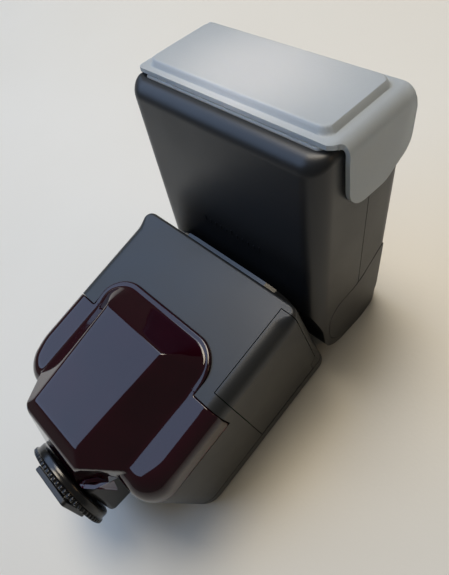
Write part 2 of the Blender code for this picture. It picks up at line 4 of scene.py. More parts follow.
import bpy
import mathutils
import numpy as np
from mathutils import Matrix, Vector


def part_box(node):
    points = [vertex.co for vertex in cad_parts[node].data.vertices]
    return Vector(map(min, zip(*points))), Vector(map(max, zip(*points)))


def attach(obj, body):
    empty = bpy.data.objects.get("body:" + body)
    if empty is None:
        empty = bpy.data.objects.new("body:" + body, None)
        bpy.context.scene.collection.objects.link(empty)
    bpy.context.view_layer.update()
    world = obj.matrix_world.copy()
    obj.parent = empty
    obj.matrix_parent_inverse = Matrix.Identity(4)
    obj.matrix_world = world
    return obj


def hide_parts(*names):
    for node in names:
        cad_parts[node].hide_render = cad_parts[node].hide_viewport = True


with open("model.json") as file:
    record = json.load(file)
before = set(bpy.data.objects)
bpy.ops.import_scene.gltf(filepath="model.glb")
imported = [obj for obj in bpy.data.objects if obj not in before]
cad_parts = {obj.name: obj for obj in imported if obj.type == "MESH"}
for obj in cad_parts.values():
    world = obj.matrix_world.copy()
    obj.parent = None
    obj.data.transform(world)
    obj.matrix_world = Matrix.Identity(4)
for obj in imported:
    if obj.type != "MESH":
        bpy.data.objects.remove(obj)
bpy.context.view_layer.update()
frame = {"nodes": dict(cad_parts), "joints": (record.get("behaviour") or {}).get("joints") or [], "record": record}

# ---------------------------------------------------------------- table, daylight and camera
# The flash gun lies on its back on a pale cream table. A wide cool window stands to its left, a soft ceiling
# light hangs above it and a weak warm lamp is to its right. The camera looks down on its front panel.

MM = 0.001


def linear(code, alpha=True):
    """The linear colour of an sRGB hex code."""
    parts = np.array([int(code[k:k + 2], 16) / 255 for k in (1, 3, 5)])
    parts = np.where(parts <= 0.04045, parts / 12.92, ((parts + 0.055) / 1.055) ** 2.4)
    return [*parts.tolist(), 1.0] if alpha else parts.tolist()


def blank(name, **shader):
    """A new material, its Principled shader's sockets set by name."""
    made = bpy.data.materials.new(name)
    made.use_nodes = True
    for socket, value in shader.items():
        made.node_tree.nodes["Principled BSDF"].inputs[socket.replace("_", " ")].default_value = value
    return made


def add(material, kind, inputs, **settings):
    """Adds one node: settings are its own properties, and inputs are values or sockets to join, by socket name
    or number."""
    made = material.node_tree.nodes.new(kind)
    for key, value in settings.items():
        setattr(made, key, value)
    for socket, value in inputs.items():
        if isinstance(value, bpy.types.NodeSocket):
            material.node_tree.links.new(value, made.inputs[socket])
        else:
            made.inputs[socket].default_value = value
    return made


def drive(material, **sockets):
    """Joins outputs to the Principled shader's sockets, by name."""
    shader = material.node_tree.nodes["Principled BSDF"]
    for socket, output in sockets.items():
        material.node_tree.links.new(output, shader.inputs[socket.replace("_", " ")])


def painted_table():
    """Satin lacquer on a flat board: cream, with faint clouding and a fine roller texture."""
    paint = blank("cream_lacquer", Roughness=0.42, IOR=1.5)
    place = add(paint, "ShaderNodeTexCoord", {}).outputs["Object"]
    cloud = add(paint, "ShaderNodeTexNoise", {"Vector": place, "Scale": 9.0, "Detail": 3.0}).outputs["Fac"]
    roller = add(paint, "ShaderNodeTexNoise", {"Vector": place, "Scale": 700.0, "Detail": 2.0}).outputs["Fac"]
    tint = add(paint, "ShaderNodeMix", {"Factor": cloud, 6: linear("#dfd9cb"), 7: linear("#e5e0d4")},
               data_type="RGBA")
    bump = add(paint, "ShaderNodeBump", {"Height": roller, "Strength": 0.12, "Distance": 0.0002})
    drive(paint, Base_Color=tint.outputs[2], Normal=bump.outputs["Normal"])
    return paint


table = bpy.data.meshes.new("table")
TABLE_HALF = 1.6
table.from_pydata([(-TABLE_HALF, -TABLE_HALF, 0), (TABLE_HALF, -TABLE_HALF, 0), (TABLE_HALF, TABLE_HALF, 0),
                   (-TABLE_HALF, TABLE_HALF, 0)], [], [(0, 1, 2, 3)])
floor = bpy.data.objects.new("table", table)
bpy.context.scene.collection.objects.link(floor)
floor.data.materials.append(painted_table())


def softbox(name, towards, distance, size, power, colour, aim=(0.0, -0.01, 0.03)):
    """A rectangular light at a distance along a direction from the aim point, facing it."""
    lamp = bpy.data.lights.new(name, "AREA")
    lamp.shape = "RECTANGLE"
    lamp.size, lamp.size_y = size
    lamp.energy = power
    lamp.color = linear(colour, alpha=False)
    thing = bpy.data.objects.new(name, lamp)
    bpy.context.scene.collection.objects.link(thing)
    way = np.array(towards) / np.linalg.norm(towards)
    thing.location = np.array(aim) + way * distance
    thing.rotation_euler = mathutils.Vector(way).to_track_quat("Z", "Y").to_euler()


softbox("window_light", (-0.62, -0.16, 0.76), 1.0, (1.2, 0.8), 6.8, "#b4d2ff")
softbox("window_upper", (-0.30, 0.42, 0.86), 1.1, (0.5, 0.5), 2.2, "#e2eaf8")
softbox("ceiling_light", (-0.18, 0.42, 1.0), 1.1, (0.45, 0.45), 6.0, "#fff0d6")
softbox("warm_lamp", (0.75, 0.55, 0.55), 1.3, (0.3, 0.3), 0.6, "#ffcf94")

room = bpy.data.worlds.new("room")
bpy.context.scene.world = room
room.use_nodes = True
room.node_tree.nodes["Background"].inputs["Color"].default_value = linear("#cfd0cc")
room.node_tree.nodes["Background"].inputs["Strength"].default_value = 0.2
bpy.context.scene.view_settings.view_transform = "Standard"

lens = bpy.data.cameras.new("camera")
lens.lens = 29.34
camera = bpy.data.objects.new("camera", lens)
bpy.context.scene.collection.objects.link(camera)
view_right = np.array([0.703, 0.630, -0.332])
view_back = np.array([0.509, -0.119, 0.853])
view_back = view_back / np.linalg.norm(view_back)
view_right = view_right - view_back * (view_right @ view_back)
view_right = view_right / np.linalg.norm(view_right)
view_up = np.cross(view_back, view_right)
turned = np.eye(4)
turned[:3, :3] = np.stack([view_right, view_up, view_back], axis=1)
turned[:3, 3] = (0.0921, -0.006, 0.190)
camera.matrix_world = mathutils.Matrix(turned.tolist())
bpy.context.scene.camera = camera

# ---------------------------------------------------------------- front housing
# The main moulding: a deep tray of charcoal ABS with rolled long edges and a fine spark-eroded grain. It is
# open at the back, cut away for the red window at the foot end and for the battery door on the right.

front_low, front_high = [np.array(corner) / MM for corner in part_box("front_housing")]
window_low, window_high = [np.array(corner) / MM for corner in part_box("autofocus_window")]
door_low, door_high = [np.array(corner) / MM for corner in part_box("battery_door")]
HALF = front_high[0]
TOP_Y = front_high[1]
END_Y = front_low[1]
FRONT_Z = front_high[2]
SEAM_Z = front_low[2]
EDGE_R = 5.5
END_R = 10.0
SHOULDER_R = 4.5
TOP_ROLL = 1.3
GAP = 0.3
WALL = 2.0
THROAT_HALF = 27.7
THROAT_R = 11.5
WING_TOP = -20.5
DOOR_X = 32.65
DOOR_HINGE_Y = 13.5
DOOR_FRONT_Y = -15.3


def unit(vectors):
    return vectors / np.linalg.norm(vectors, axis=-1, keepdims=True)


def smooth(value):
    """0 below 0, 1 above 1, and an even S between."""
    value = np.clip(value, 0.0, 1.0)
    return value * value * (3 - 2 * value)


def outline(corners, step=0.8, least=4):
    """A closed anticlockwise curve through corners (u, v, radius). Each corner is an arc tangent to its two
    sides, in at least least steps, and points stand at most a step apart. Returns the points and their
    outward normals."""
    spots = np.array([corner[:2] for corner in corners], float)
    radii = np.array([corner[2] for corner in corners], float)
    inward = unit(spots - np.roll(spots, 1, axis=0))
    onward = unit(np.roll(spots, -1, axis=0) - spots)
    bend = np.arctan2(inward[:, 0] * onward[:, 1] - inward[:, 1] * onward[:, 0], (inward * onward).sum(axis=1))
    reach = (radii * np.tan(np.abs(bend) / 2))[:, None]
    starts, ends = spots - inward * reach, spots + onward * reach
    points, normals = [], []
    for k in range(len(spots)):
        first = math.atan2(-inward[k, 0], inward[k, 1])
        count = max(least, math.ceil(radii[k] * abs(bend[k]) / step)) + 1 if radii[k] > 0 else 1
        angles = first + bend[k] * (np.linspace(0, 1, count) if count > 1 else np.array([0.5]))
        out = np.stack([np.cos(angles), np.sin(angles)], axis=1)
        side = np.sign(bend[k]) * radii[k]
        centre = starts[k] - side * np.array([inward[k, 1], -inward[k, 0]])
        points.append(centre + side * out)
        normals.append(out)
        run = starts[(k + 1) % len(spots)] - ends[k]
        pieces = max(1, math.ceil(np.linalg.norm(run) / step))
        share = np.linspace(0, 1, pieces + 1)[1:-1, None]
        points.append(ends[k] + share * run)
        normals.append(np.repeat([[onward[k, 1], -onward[k, 0]]], len(share), axis=0))
    return np.concatenate(points), np.concatenate(normals)


def roll(points, normals, low, high, top=1.0, foot=0.3, steps=8):
    """Rings of a wall from low to high with rolled edges. At angle a a top ring is pulled in by top(1 - cos a)
    and stands top(1 - sin a) below high; the foot edge is rolled in the same way. top may vary along the
    outline."""
    top = np.broadcast_to(top, len(points))[:, None]
    rings = []
    for angle in np.linspace(math.pi / 2, 0, 4):
        height = np.full((len(points), 1), low + foot * (1 - math.sin(angle)))
        rings.append(np.hstack([points - normals * foot * (1 - math.cos(angle)), height]))
    for angle in np.linspace(0, math.pi / 2, steps):
        height = high - top * (1 - math.sin(angle))
        rings.append(np.hstack([points - normals * top * (1 - math.cos(angle)), height]))
    return np.array(rings)


def to_object(name, points, faces):
    mesh = bpy.data.meshes.new(name)
    mesh.from_pydata((np.asarray(points) * MM).tolist(), [], faces)
    mesh.validate()
    made = bpy.data.objects.new(name, mesh)
    bpy.context.scene.collection.objects.link(made)
    return made


def quads(rows, columns, wrap):
    """Faces of a grid of rows by columns; with wrap the last column joins the first."""
    row, column = np.meshgrid(np.arange(rows - 1), np.arange(columns if wrap else columns - 1), indexing="ij")
    after = (column + 1) % columns
    corners = [row * columns + column, row * columns + after, (row + 1) * columns + after,
               (row + 1) * columns + column]
    return np.stack(corners, axis=-1).reshape(-1, 4).tolist()


def loft(name, rings, place=None):
    """A closed body through a stack of rings, each end closed by one flat face."""
    rows, columns = rings.shape[:2]
    points = rings.reshape(-1, 3)
    faces = quads(rows, columns, True)
    faces.append(list(range(columns))[::-1])
    faces.append(list(range((rows - 1) * columns, rows * columns)))
    return to_object(name, place(points) if place else points, faces)


def plate(name, corners, low, high, top=0.3, foot=0.3, place=None, step=0.8):
    points, normals = outline(corners, step)
    return loft(name, roll(points, normals, low, high, top, foot), place)


def square(u_low, u_high, v_low, v_high, radius=0.0):
    return [(u_low, v_low, radius), (u_high, v_low, radius), (u_high, v_high, radius), (u_low, v_high, radius)]


def upright(points):
    """Turns (y, z, x) triples, an outline in side view and its depth, to (x, y, z)."""
    return points[:, [2, 0, 1]]


def carve(piece, operation, *tools):
    """Cuts the tools from a piece, or keeps what they share, and removes them."""
    for tool in tools:
        step = piece.modifiers.new("carve", "BOOLEAN")
        step.operation = operation
        step.object = tool
        with bpy.context.temp_override(object=piece, active_object=piece):
            bpy.ops.object.modifier_apply(modifier=step.name)
        bpy.data.objects.remove(tool)
    return piece


def complete(piece, finish, body, slot, *nodes, sharp=34):
    """Shades a piece, gives it its material, and ties it to its body and the solids it stands for. slot is not
    used.
    """
    piece.data.shade_smooth()
    piece.data.set_sharp_from_angle(angle=math.radians(sharp))
    even = piece.modifiers.new("even_shading", "WEIGHTED_NORMAL")
    even.keep_sharp = True
    piece.data.materials.clear()
    piece.data.materials.append(finish)
    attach(piece, body)
    if nodes:
        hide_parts(*nodes)
    return piece


def moulded(name, shade, tint, roughness, grain, depth=0.02, spread=0.10):
    """Spark-eroded thermoplastic: a leathery grain of pits a grain apart (mm) and depth deep (mm), colour and
    polish that drift over the moulding, and handling marks that shine a little more."""
    plastic = blank(name, IOR=1.5)
    place = add(plastic, "ShaderNodeTexCoord", {}).outputs["Object"]
    pits = add(plastic, "ShaderNodeTexVoronoi", {"Vector": place, "Scale": 1000 / grain})
    dust = add(plastic, "ShaderNodeTexNoise", {"Vector": place, "Scale": 2200 / grain, "Detail": 3.0})
    drift = add(plastic, "ShaderNodeTexNoise", {"Vector": place, "Scale": 45.0, "Detail": 4.0})
    height = add(plastic, "ShaderNodeMath", {0: pits.outputs["Distance"], 1: dust.outputs["Fac"]}).outputs[0]
    bump = add(plastic, "ShaderNodeBump", {"Height": height, "Strength": 0.5, "Distance": depth * MM})
    speckle = add(plastic, "ShaderNodeMix", {"Factor": dust.outputs["Fac"], 6: linear(shade), 7: linear(tint)},
                  data_type="RGBA").outputs[2]
    clouded = add(plastic, "ShaderNodeMix", {"Factor": drift.outputs["Fac"], 6: speckle, 7: linear(tint)},
                  data_type="RGBA")
    polish = add(plastic, "ShaderNodeMapRange", {"Value": drift.outputs["Fac"], 1: 0.3, 2: 0.7,
                                                 3: roughness - spread / 2, 4: roughness + spread / 2})
    drive(plastic, Base_Color=clouded.outputs[2], Roughness=polish.outputs[0], Normal=bump.outputs["Normal"])
    return plastic


# ABS, medium spark-eroded grain: charcoal, with a satin sheen where the window lights it
charcoal = moulded("charcoal_abs", "#191a1b", "#212222", 0.40, 0.42)


def body_plan():
    """The body's plan, its foot corners larger than its shoulders."""
    return [(-HALF, END_Y, END_R), (HALF, END_Y, END_R), (HALF, TOP_Y, SHOULDER_R),
            (-HALF, TOP_Y, SHOULDER_R)]


def body_block(name, inset, low, high):
    """The whole front half as one block: its edge is rolled by EDGE_R on the long sides and TOP_ROLL at the
    top."""
    points, normals = outline(body_plan())
    top = TOP_ROLL + (EDGE_R - TOP_ROLL) * smooth((TOP_Y - points[:, 1]) / 9.0)
    top = np.maximum(top - inset, 0.4)
    return loft(name, roll(points - normals * inset, normals, low, high, top, foot=0.25))


def door_tool(grow):
    """The door seen from its side, grown by grow: its foot edge slants back, and its lower head corner is cut
    off, so that it's narrower where it turns on its hinge."""
    below, above = SEAM_Z - 6, FRONT_Z + 6
    corners = [(door_low[1] - 0.4 - grow, below), (DOOR_HINGE_Y + grow, below), (DOOR_HINGE_Y + grow, 12.4),
               (16.8 + grow, 16.0), (door_high[1] + 0.1 + grow, above), (DOOR_FRONT_Y - grow, above)]
    return plate("door_tool", [(y, z, 0.0) for y, z in corners], DOOR_X - grow, 60.0, 0.0, 0.0, upright)


def throat_tool(grow, low, high):
    """The opening in the front panel that the red window's raised block stands in."""
    half, top = THROAT_HALF + grow, window_high[1] + grow
    corners = [(-half, -40.0, 0.0), (half, -40.0, 0.0), (half, top, THROAT_R), (-half, top, THROAT_R)]
    return plate("throat_tool", corners, low, high, 0.0, 0.0)


housing = body_block("front_shell", 0.0, SEAM_Z, FRONT_Z)
carve(housing, "DIFFERENCE",
      body_block("hollow", WALL, SEAM_Z - 4, FRONT_Z - WALL),
      plate("bed", square(-50, 50, -80, WING_TOP + GAP / 2), window_low[2] - GAP / 2, FRONT_Z + 5, 0.0, 0.0),
      throat_tool(GAP / 2, FRONT_Z - 5, FRONT_Z + 5),
      door_tool(GAP / 2))
complete(housing, charcoal, "body", "body_plastic", "front_housing")

# ---------------------------------------------------------------- battery door
# A cover that wraps round the right front edge, moulded in the same charcoal ABS, hinged low on the side.

door = body_block("battery_cover", 0.0, SEAM_Z + 0.4, FRONT_Z)
carve(door, "INTERSECT", door_tool(-GAP / 2))
carve(door, "DIFFERENCE", body_block("door_hollow", 1.8, SEAM_Z - 4, FRONT_Z - 1.8))
complete(door, charcoal, "door", "body_plastic", "battery_door")

# ---------------------------------------------------------------- rear housing
# The shallow back of the body, screwed to the front one, with openings for the display, keys and switch.

back_points, back_normals = outline(body_plan())
back_rings = roll(back_points, back_normals, -(SEAM_Z - GAP), 0.0, 3.2, 0.2)
back_rings[:, :, 2] *= -1
back_shell = loft("back_shell", back_rings[::-1])
display_low, display_high = [np.array(corner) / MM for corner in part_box("display_window")]
switch_low, switch_high = [np.array(corner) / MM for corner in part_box("power_switch")]
hollow_points = back_points - back_normals * WALL
carve(back_shell, "DIFFERENCE",
      loft("hollow", roll(hollow_points, back_normals, WALL, SEAM_Z + 5, 0.0, 0.4)),
      plate("pane_hole", square(display_low[0] - GAP, display_high[0] + GAP, display_low[1] - GAP,
                                display_high[1] + GAP, 1.5), -5, 8, 0.0, 0.0),
      plate("slot", square(switch_low[0] - GAP, switch_high[0] + 6 + GAP, switch_low[1] - GAP,
                           switch_high[1] + GAP, 2.4), -5, 8, 0.0, 0.0))
keys = sorted(node for node in frame["nodes"] if node.endswith("_button"))
screws = sorted(node for node in frame["nodes"] if node.startswith("housing_screw"))


def middle(node):
    low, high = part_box(node)
    return (np.array(low) + np.array(high)) / 2 / MM


def disc(centre, radius):
    """A round outline as four quarter arcs."""
    u, v = centre[:2]
    return square(u - radius, u + radius, v - radius, v + radius, radius * 0.999)


for node in keys + screws:
    bore = 3.8 if node in keys else 2.3
    carve(back_shell, "DIFFERENCE", plate("bore", disc(middle(node), bore), -5, 8, 0.0, 0.0, step=0.5))
complete(back_shell, charcoal, "body", "body_plastic", "rear_housing")

# ---------------------------------------------------------------- red window
# One polished piece of wine red acrylic in front of the focus lamp: two flush wings, and between them a
# raised block with a flat tapered facet, plain flanks and a nose that hangs over the foot.

FACET_Z = window_high[2]
NOSE_Y = window_low[1]
RIM_Z = 56.2
BEAD = 1.6
FACET_TOP = (14.85, -16.2)  # half width and y of the facet's two ends
FACET_FOOT = (12.5, -55.7)
BROW_FOOT = (-61.0, FACET_Z - 3.5)  # y and z of the edge between brow and nose
CROWN = (0.0, -40.0)
NOSE_PLAN = [(11.8, NOSE_Y, 2.0), (15.8, -66.2, 4.0), (18.2, -61.2, 5.0), (20.6, END_Y, 1.2)]


def soft_least(values, width):
    """A smooth minimum over the first axis: -width log(sum(exp(-value / width)))."""
    least = values.min(axis=0)
    return least - width * np.log(np.exp(-(values - least) / width).sum(axis=0))


def past_corner(u, v):
    """Distance past a quadrant's edges u = 0 and v = 0, round their corner outside and negative inside."""
    return np.hypot(np.maximum(u, 0), np.maximum(v, 0)) + np.minimum(np.maximum(u, v), 0)


def bead_height(y):
    """The bead round the block's foot: level with the wings beside them, and a little proud above them."""
    return FRONT_Z + (RIM_Z - FRONT_Z) * smooth((y + 21.0) / 9.0)


def block_height(x, y):
    """The raised block as the soft minimum of its planes: the facet, a skirt that falls with the distance d to
    the block's rounded outline, the brow, the nose, and a steep cheek where it ends over the wing."""
    x = np.abs(x)
    share = np.clip((FACET_TOP[1] - y) / (FACET_TOP[1] - FACET_FOOT[1]), 0, 1)
    facet_half = FACET_TOP[0] + (FACET_FOOT[0] - FACET_TOP[0]) * share
    d = past_corner(x - 16.0, 1.1 * (y - (window_high[1] - BEAD - 9.3)))
    rim = bead_height(y) - 0.5
    skirt = rim + (10.2 - d) * (FACET_Z - rim) / (26.2 - facet_half)
    brow = FACET_Z - 0.66 * (FACET_FOOT[1] - y)
    nose = BROW_FOOT[1] - 1.87 * (BROW_FOOT[0] - y)
    cheek = 58.4 - 6.0 * (0.696 * (x - 21.2) - 0.719 * (y + 55.0))
    return soft_least(np.array([np.full_like(x, FACET_Z), skirt, brow, nose, cheek]), 0.3)


def wing_height(x, y):
    """The wings: flat at the front panel's level, rolled over by their distance to the body's plan; the roll is
    wider at the foot end."""
    inside = END_R - past_corner(np.abs(x) - (HALF - END_R), -y + (END_Y + END_R))
    radius = EDGE_R + 4.0 * smooth((-40.0 - y) / 14.0)
    bite = np.clip(radius - inside, 0, radius)
    return FRONT_Z - (radius - np.sqrt(radius ** 2 - bite ** 2)) - 20 * np.clip(-inside, 0, None)


def window_height(x, y):
    """The soft maximum of block, wings and bead, with a small fillet where they meet."""
    bead = bead_height(y) - 30.0 * np.clip(-19.5 - y, 0, 1)
    return -soft_least(-np.array([block_height(x, y), wing_height(x, y), bead]), 0.22)


WING_EDGE = WING_TOP - GAP / 2
half_plan = NOSE_PLAN + [(HALF, END_Y, END_R - 0.05), (HALF, WING_EDGE, 0.9), (THROAT_HALF, WING_EDGE, 0.5),
                         (THROAT_HALF, window_high[1], THROAT_R - 0.2)]
window_plan = half_plan + [(-x, y, radius) for x, y, radius in half_plan[::-1]]
rim_points, rim_normals = outline(window_plan, 0.6, least=3)
lip = (0.5 + 0.4 * smooth((rim_points[:, 1] + 20.0) / 8.0))[:, None]
at_rim = window_height(*(rim_points - rim_normals * 0.02).T)
foot_of_rim = window_low[2] + 0.2
rise = np.maximum(at_rim - 0.7, foot_of_rim + 0.3) - foot_of_rim
rows = [np.column_stack([rim_points, foot_of_rim + share * rise]) for share in np.linspace(0, 0.94, 9)]
for angle in np.linspace(0.1, math.pi / 2, 6):
    spots = rim_points - rim_normals * lip * (1 - math.cos(angle))
    fall = lip[:, 0] * (1 - math.sin(angle)) * 0.7
    rows.append(np.column_stack([spots, window_height(*spots.T) - fall]))
edge = rim_points - rim_normals * lip
for share in 0.78 * np.linspace(0, 1, 66)[1:] ** 1.3:
    spots = edge + (np.array(CROWN) - edge) * share
    rows.append(np.column_stack([spots, window_height(*spots.T)]))
grid = np.array(rows)
faces = quads(*grid.shape[:2], True)
faces.append(list(range(grid.shape[0] * grid.shape[1]))[-grid.shape[1]:])
window = to_object("red_window", grid.reshape(-1, 3), faces)
wall = window.modifiers.new("wall", "SOLIDIFY")
wall.thickness = 1.5 * MM
wall.offset = -1


def wine_acrylic():
    """Deep red dyed acrylic, injection moulded and polished: nearly black where nothing shines through it, with a
    painted glow that makes it clearer and pinker along its thin lower edge, standing in for light coming through
    there, and with fine dust and hairlines."""
    dyed = blank("wine_acrylic", IOR=1.49, Roughness=0.03, Transmission_Weight=0.12)
    place = add(dyed, "ShaderNodeTexCoord", {}).outputs["Object"]
    height = add(dyed, "ShaderNodeSeparateXYZ", {"Vector": place}).outputs["Z"]
    # painted light: towards the lower edge the colour turns pinker by height, in place of light shining through
    # the thin acrylic
    painted_edge_glow = add(dyed, "ShaderNodeMapRange", {"Value": height, 1: 0.0438, 2: 0.0456, 3: 1.0, 4: 0.0},
               interpolation_type="SMOOTHSTEP").outputs[0]
    cloud = add(dyed, "ShaderNodeTexNoise", {"Vector": place, "Scale": 60.0, "Detail": 3.0}).outputs["Fac"]
    deep = add(dyed, "ShaderNodeMix", {"Factor": cloud, 6: linear("#150006"), 7: linear("#2b0410")},
               data_type="RGBA").outputs[2]
    tint = add(dyed, "ShaderNodeMix", {"Factor": painted_edge_glow, 6: deep, 7: linear("#4c0c22")}, data_type="RGBA")
    hair = add(dyed, "ShaderNodeTexNoise", {"Vector": place, "Scale": 900.0, "Detail": 4.0}).outputs["Fac"]
    polish = add(dyed, "ShaderNodeMapRange", {"Value": hair, 1: 0.55, 2: 0.8, 3: 0.03, 4: 0.16})
    drive(dyed, Base_Color=tint.outputs[2], Roughness=polish.outputs[0])
    return dyed


complete(window, wine_acrylic(), "body", "wine_window", "autofocus_window", sharp=60)

# ---------------------------------------------------------------- focus lamp
# A polished ruby lens behind the window's facet, in a black sleeve. It throws the pattern to focus by.

joints = {joint["name"]: joint for joint in frame["joints"]}


def spin(name, profile, sides, place, wave=None, hole=False):
    """A profile of (radius, height) turned about the height axis. wave(angle, height) is added to the radius;
    with hole the profile is a closed loop, and without it flat ends close the body."""
    profile = np.array(profile, float)
    angle = np.linspace(0, 2 * math.pi, sides, endpoint=False)
    radius = profile[:, :1] + (wave(angle[None, :], profile[:, 1:]) if wave else 0.0)
    height = np.broadcast_to(profile[:, 1:], radius.shape if wave else (len(profile), sides))
    rings = np.stack([radius * np.cos(angle), radius * np.sin(angle), height], axis=-1)
    if not hole:
        return loft(name, rings, place)
    looped = np.concatenate([rings, rings[:1]])
    rows, columns = len(rings), sides
    faces = (np.array(quads(rows + 1, columns, True)) % (rows * columns)).tolist()
    return to_object(name, place(looped[:-1].reshape(-1, 3)), faces)


focus = middle("autofocus_lens")


def on_focus(points):
    return points + np.array([focus[0], focus[1], 0.0])


dome = [(7.3, 49.5), (7.3, 51.6), (7.0, 52.2)] + [(6.6 * math.cos(a), 52.4 + 3.6 * math.sin(a))
                                                 for a in np.linspace(0, 1.5, 9)]
# painted glow: the ruby lens gives out a faint light of its own, standing in for light seen through it
ruby = blank("ruby_lens", Base_Color=linear("#a3122f"), Roughness=0.05, IOR=1.49, Transmission_Weight=0.3,
             Emission_Color=linear("#d8204a"), Emission_Strength=0.04)
ruby_place = add(ruby, "ShaderNodeTexCoord", {}).outputs["Object"]
fine = add(ruby, "ShaderNodeTexNoise", {"Vector": ruby_place, "Scale": 500.0}).outputs["Fac"]
drive(ruby, Roughness=add(ruby, "ShaderNodeMapRange", {"Value": fine, 3: 0.02, 4: 0.12}).outputs[0])
complete(spin("focus_lens", dome, 64, on_focus), ruby, "body", "ruby_lens", "autofocus_lens")

# ---------------------------------------------------------------- shoe foot
# A glass filled nylon pedestal carries a moulded shoe plate with spring contacts. The lock ring over it is
# knurled along its lower edge and polished above.

along = np.array(joints["ring_turn"]["axis"])
out = np.array(joints["cap_pull"]["axis"])


def leaning(origin):
    """Maps (x, along, out) from the leaning frame at origin to the world: along is square to the shoe plate,
    and out is the way the flash fires."""
    turn = np.stack([np.array([1.0, 0.0, 0.0]), along, out])
    return lambda points: points @ turn + np.array(origin) / MM


foot_place = leaning(joints["ring_turn"]["pos_m"])


def on_foot(points):
    """(out, x, along) triples on the foot."""
    return foot_place(points[:, [1, 2, 0]])


nylon = moulded("black_nylon", "#141415", "#1d1d1e", 0.38, 0.35, 0.012)
gloss = moulded("polished_black", "#0b0b0c", "#121213", 0.2, 0.5, 0.004, 0.12)
pedestal_low, pedestal_high = [np.array(corner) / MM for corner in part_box("foot_pedestal")]
pedestal = plate("pedestal", [(-57.3, 42.6, 1.0), (-70.4, 41.6, 2.5), (-77.6, 16.6, 2.5), (-57.3, 12.0, 1.0)],
                 pedestal_low[0], pedestal_high[0], 2.2, 2.2, upright)
complete(pedestal, charcoal, "body", "body_plastic", "foot_pedestal")

SHOE_HALF = 9.3
shoe = plate("shoe", square(-SHOE_HALF, SHOE_HALF, -SHOE_HALF, SHOE_HALF, 1.2), 0.0, 1.9, 0.25, 0.45, on_foot)
carve(shoe, "UNION", spin("stem", [(6.1, 1.2), (6.1, 8.2)], 64, on_foot))
pins = sorted(node for node in frame["nodes"] if node.startswith("contact_pin")) + ["lock_pin"]
shoe_axis = np.array(joints["ring_turn"]["pos_m"]) / MM
for node in pins:
    spot = middle(node) - shoe_axis
    across = spot @ out
    bore = plate("bore", disc((across, spot[0]), 1.45 if node != "lock_pin" else 1.25), -4.0, 3.2, 0.0, 0.0,
                 on_foot, 0.3)
    carve(shoe, "DIFFERENCE", bore)
complete(shoe, nylon, "body", "gloss_black_plastic", "shoe_plate")

TEETH = 60
KNURL_TOP = 5.1
knurl_profile = [(16.6, 3.5), (17.5, 3.55), (17.9, 3.8), (18.0, 4.0), (18.0, 4.8), (17.8, KNURL_TOP),
                 (17.4, 5.2), (17.3, 5.4), (17.35, 6.4), (17.35, 7.4), (17.1, 7.85), (16.6, 8.1), (6.5, 8.1),
                 (6.5, 3.5)]


def knurl(angle, height):
    """Cut into the lower band only, as square teeth with rounded flanks."""
    band = smooth((height - 3.5) / 0.4) * smooth((KNURL_TOP - height) / 0.25)
    return -0.62 * (0.5 - 0.5 * np.tanh(2.6 * np.sin(TEETH * angle))) * band


ring = spin("lock_ring_knurled", knurl_profile, TEETH * 10, on_foot, knurl, hole=True)
complete(ring, gloss, "ring", "gloss_black_plastic", "lock_ring", sharp=50)

# ---------------------------------------------------------------- flash head
# Two half shells of the same charcoal ABS, given a darker copy of its colour as painted shade, meeting at a seam
# down each side, with a wide rolled rim round the lens. Their cheeks run down beside the neck, where a pointed
# cover hides each end of the tilt shaft.

head_place = leaning(joints["head_tilt"]["pos_m"])
HEAD_FACE = -23.0
HEAD_BACK = 19.5
HEAD_RIM = 80.5
HEAD_SEAM = 1.1
CHEEK_R = 16.0
NECK = 24.8
LEAF = [(-15.2, -15.2, 15.15), (15.4, -15.2, 15.15), (15.4, 23.0, 0.8), (1.5, 12.6, 14.0), (-15.2, 10.6, 8.0)]


def on_head(points):
    """(x, along, out) triples on the head."""
    return head_place(points)


def beside_head(points):
    """(along, out, x) triples on the head: an outline in side view and its depth."""
    return head_place(points[:, [2, 0, 1]])


# painted shade: a darker copy of the charcoal ABS, its colour lowered for the head's face, which sees little of
# the window
head_abs_painted_shade = moulded("head_abs_painted_darker", "#141516", "#1a1b1d", 0.38, 0.36, 0.012)


def leaf(grow):
    """The cover's outline grown by grow all round."""
    points, normals = outline(LEAF, 0.5)
    return points + normals * grow, normals


